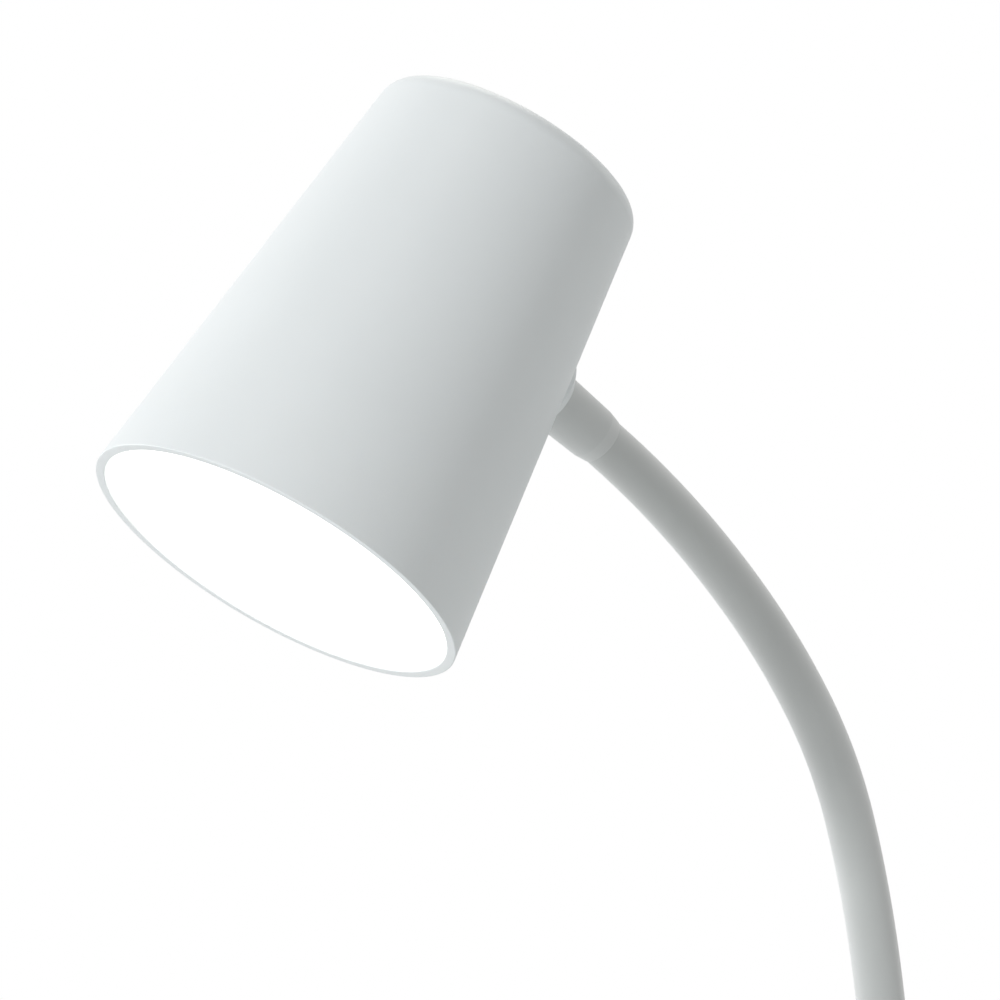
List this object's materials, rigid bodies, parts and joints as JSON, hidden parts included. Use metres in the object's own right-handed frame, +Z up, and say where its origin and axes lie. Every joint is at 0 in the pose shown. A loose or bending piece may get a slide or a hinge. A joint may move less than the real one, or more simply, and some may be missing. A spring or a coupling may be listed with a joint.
{
  "type": "gooseneck desk lamp",
  "caption": "Desk lamp with a closed conical shade on a flexible sleeved neck, standing on a weighted round base with a push switch.",
  "frame": {"origin": "middle of the base's underside, on the desk", "axes": "+Z up, the head reaches towards -X, the power inlet faces +X, and the XZ plane halves the lamp"},
  "size_m": [0.304, 0.15, 0.4011],
  "materials": {
    "shade_white": "satin moulded, white",
    "diffuser_opal": "opal, lets light through",
    "sleeve_grey": "smooth soft sleeve, light grey",
    "ferrule_grey": "satin, light grey",
    "steel": "plain zinc plated",
    "cable_white": "smooth insulation",
    "wire_red_black": "smooth insulation",
    "sink_aluminium": "plain cast",
    "led_board_white": "white coated aluminium board",
    "led_phosphor": "yellow phosphor",
    "ballast_iron": "rough cast",
    "pad_rubber": "matt foam rubber",
    "board_green": "coated glass-fibre board",
    "part_black": "moulded cases",
    "jack_black": "moulded housing",
    "pin_nickel": "nickel plated",
    "button_grey": "satin moulded, light grey"
  },
  "bodies": {
    "base": {"base_cover": "shade_white", "base_plate": "steel", "ballast": "ballast_iron", "foot_pad": "pad_rubber", "base_ferrule": "ferrule_grey", "base_washer": "steel", "base_nut": "steel", "switch_body": "part_black", "switch_spring": "steel", "switch_board": "board_green", "driver_board": "board_green", "driver_parts": "part_black", "dc_jack": "jack_black", "dc_jack_pin": "pin_nickel", "base_wires": "wire_red_black", "cover_screws": "steel", "board_screws": "steel", "neck_core_0": "steel", "neck_sleeve_0": "sleeve_grey", "neck_cable_0": "cable_white"},
    "link_1": {"neck_core_1": "steel", "neck_sleeve_1": "sleeve_grey", "neck_cable_1": "cable_white"},
    "link_2": {"neck_core_2": "steel", "neck_sleeve_2": "sleeve_grey", "neck_cable_2": "cable_white"},
    "link_3": {"neck_core_3": "steel", "neck_sleeve_3": "sleeve_grey", "neck_cable_3": "cable_white"},
    "link_4": {"neck_core_4": "steel", "neck_sleeve_4": "sleeve_grey", "neck_cable_4": "cable_white"},
    "link_5": {"neck_core_5": "steel", "neck_sleeve_5": "sleeve_grey", "neck_cable_5": "cable_white"},
    "link_6": {"neck_core_6": "steel", "neck_sleeve_6": "sleeve_grey", "neck_cable_6": "cable_white"},
    "link_7": {"neck_core_7": "steel", "neck_sleeve_7": "sleeve_grey", "neck_cable_7": "cable_white"},
    "link_8": {"neck_core_8": "steel", "neck_sleeve_8": "sleeve_grey", "neck_cable_8": "cable_white"},
    "head": {"neck_core_9": "steel", "neck_sleeve_9": "sleeve_grey", "neck_cable_9": "cable_white", "head_ferrule": "ferrule_grey", "head_washer": "steel", "head_nut": "steel", "shade": "shade_white", "diffuser": "diffuser_opal", "heat_sink": "sink_aluminium", "led_board": "led_board_white", "led_chips": "led_phosphor", "heat_sink_screws": "steel", "head_wires": "wire_red_black"},
    "button": {"button_cap": "button_grey", "switch_plunger": "part_black"}
  },
  "joints": [
    {"name": "neck_tilt_1", "type": "hinge", "parent": "base", "child": "link_1", "pos_m": [0, 0, 0.072], "axis": [0, -1, 0], "range_deg": [-22.5, 21.5]},
    {"name": "neck_swing_2", "type": "hinge", "parent": "link_1", "child": "link_2", "pos_m": [-0.00028, 0, 0.104], "axis": [-0.9997, 0, -0.0227], "range_deg": [-25, 25]},
    {"name": "neck_tilt_3", "type": "hinge", "parent": "link_2", "child": "link_3", "pos_m": [-0.00145, 0, 0.13598], "axis": [0, -1, 0], "range_deg": [-25.1, 18.9]},
    {"name": "neck_swing_4", "type": "hinge", "parent": "link_3", "child": "link_4", "pos_m": [-0.00435, 0, 0.16785], "axis": [0.9912, 0, 0.1323], "range_deg": [-25, 25]},
    {"name": "neck_tilt_5", "type": "hinge", "parent": "link_4", "child": "link_5", "pos_m": [-0.00991, 0, 0.19936], "axis": [0, -1, 0], "range_deg": [-28.1, 15.9]},
    {"name": "neck_swing_6", "type": "hinge", "parent": "link_5", "child": "link_6", "pos_m": [-0.01878, 0, 0.2301], "axis": [-0.9164, 0, -0.4003], "range_deg": [-25, 25]},
    {"name": "neck_tilt_7", "type": "hinge", "parent": "link_6", "child": "link_7", "pos_m": [-0.03531, 0, 0.2575], "axis": [0, -1, 0], "range_deg": [-31.4, 12.6]},
    {"name": "neck_swing_8", "type": "hinge", "parent": "link_7", "child": "link_8", "pos_m": [-0.05609, 0, 0.28184], "axis": [0.7175, 0, 0.6965], "range_deg": [-25, 25]},
    {"name": "neck_tilt_9", "type": "hinge", "parent": "link_8", "child": "head", "pos_m": [-0.0798, 0, 0.30333], "axis": [0, -1, 0], "range_deg": [-29.4, 14.6]},
    {"name": "button_press", "type": "slide", "parent": "base", "child": "button", "axis": [0, 0, -1], "range_m": [0, 0.002], "stiffness_N_per_m": 400, "springref_m": -0.002, "deforming": ["switch_spring"]}
  ]
}
